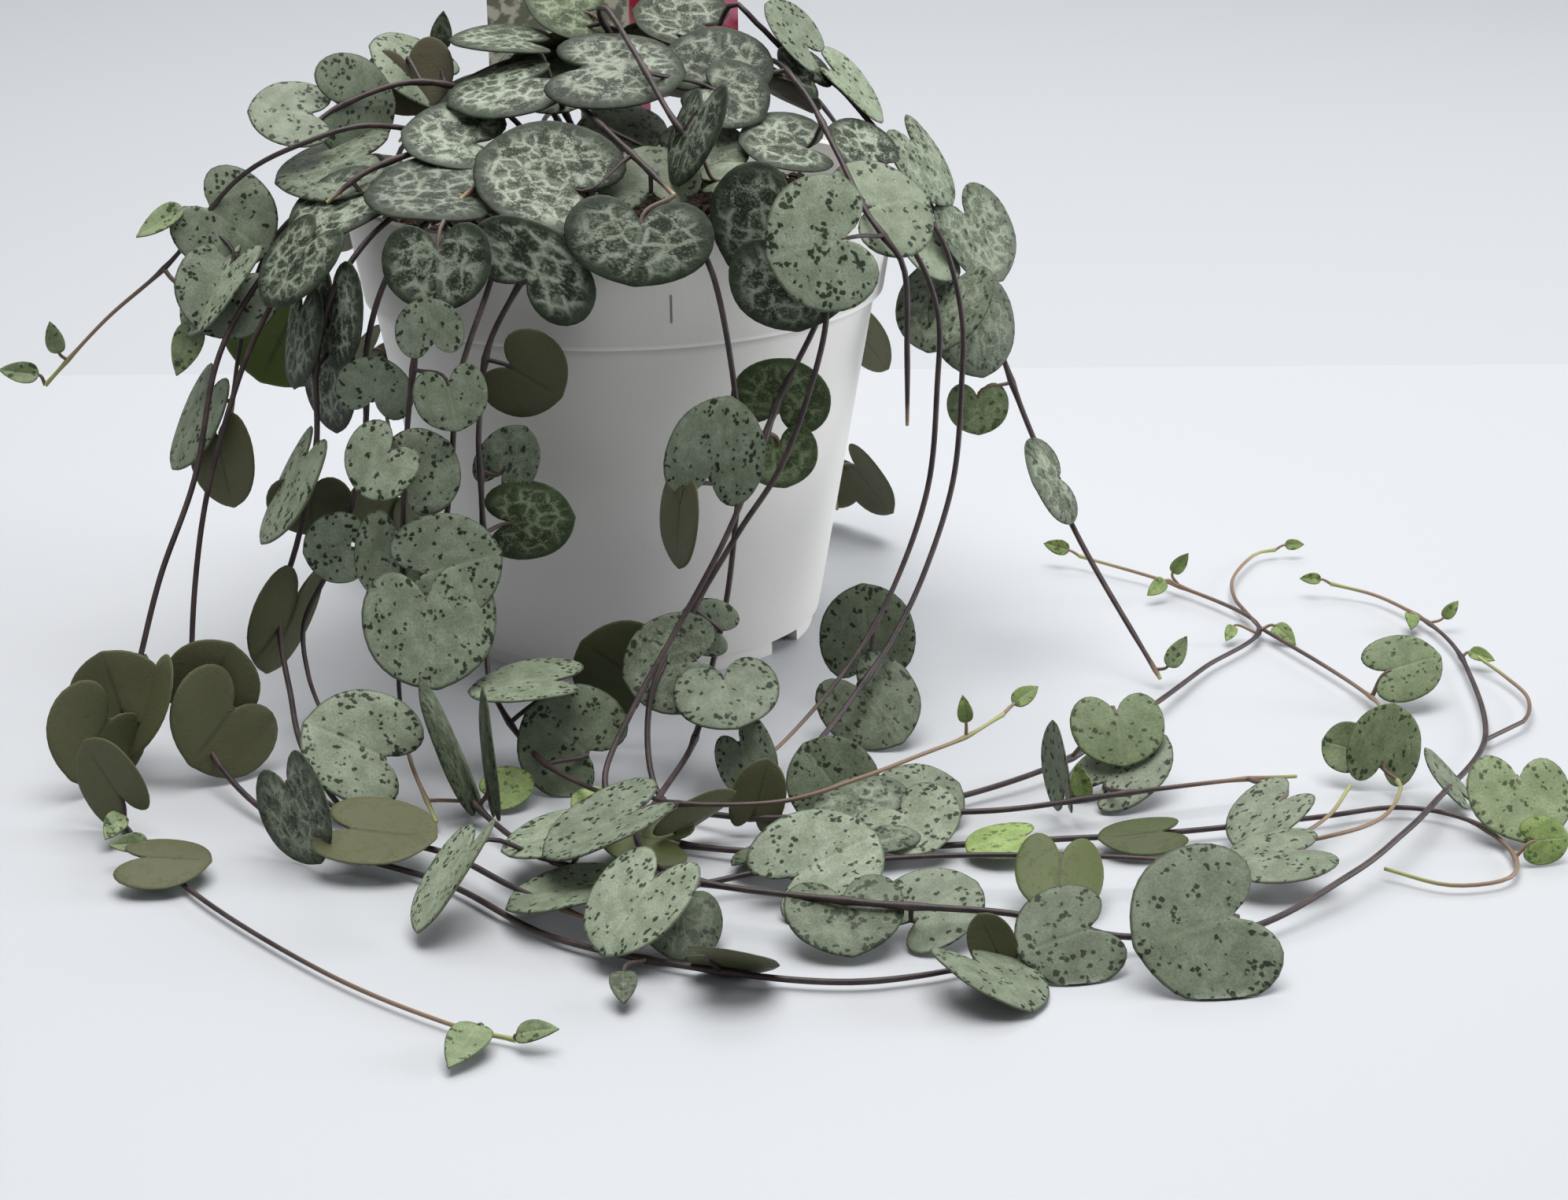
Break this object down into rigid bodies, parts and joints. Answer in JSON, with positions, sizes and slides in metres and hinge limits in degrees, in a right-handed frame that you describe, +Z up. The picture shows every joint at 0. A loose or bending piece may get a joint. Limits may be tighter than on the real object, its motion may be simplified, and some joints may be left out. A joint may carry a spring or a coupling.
{
  "type": "potted trailing plant",
  "caption": "String of hearts in a white nursery pot with a plant label, its stems hanging over the rim and trailing forwards on the surface.",
  "frame": {"origin": "centre of the pot's base, on the surface that the pot stands on", "axes": "+Z up along the pot's axis, -Y towards the front where the stems trail, +X to the right as seen from the front"},
  "size_m": [0.2755, 0.2599, 0.1546],
  "materials": {
    "pot_plastic": "semi-matte moulded",
    "soil": "coarse and matte",
    "label": "satin",
    "crown_leaf": "soft, marbled",
    "trailing_leaf": "soft, speckled"
  },
  "bodies": {
    "root": {"pot": "pot_plastic", "soil": "soil", "plant_label": "label", "crown": "crown_leaf", "far_left_shoot": "trailing_leaf", "left_outer": "trailing_leaf", "left_inner": "trailing_leaf", "left_short": "trailing_leaf", "left_curtain": "trailing_leaf", "left_curtain_front": "trailing_leaf", "front_left": "trailing_leaf", "front_left_long": "trailing_leaf", "front_left_shoot": "trailing_leaf", "centre_front": "trailing_leaf", "centre_right": "trailing_leaf", "centre_back": "trailing_leaf", "right_front": "trailing_leaf", "right_runner": "trailing_leaf", "back_strand_1": "trailing_leaf", "back_strand_2": "trailing_leaf", "back_strand_3": "trailing_leaf"}
  },
  "joints": []
}
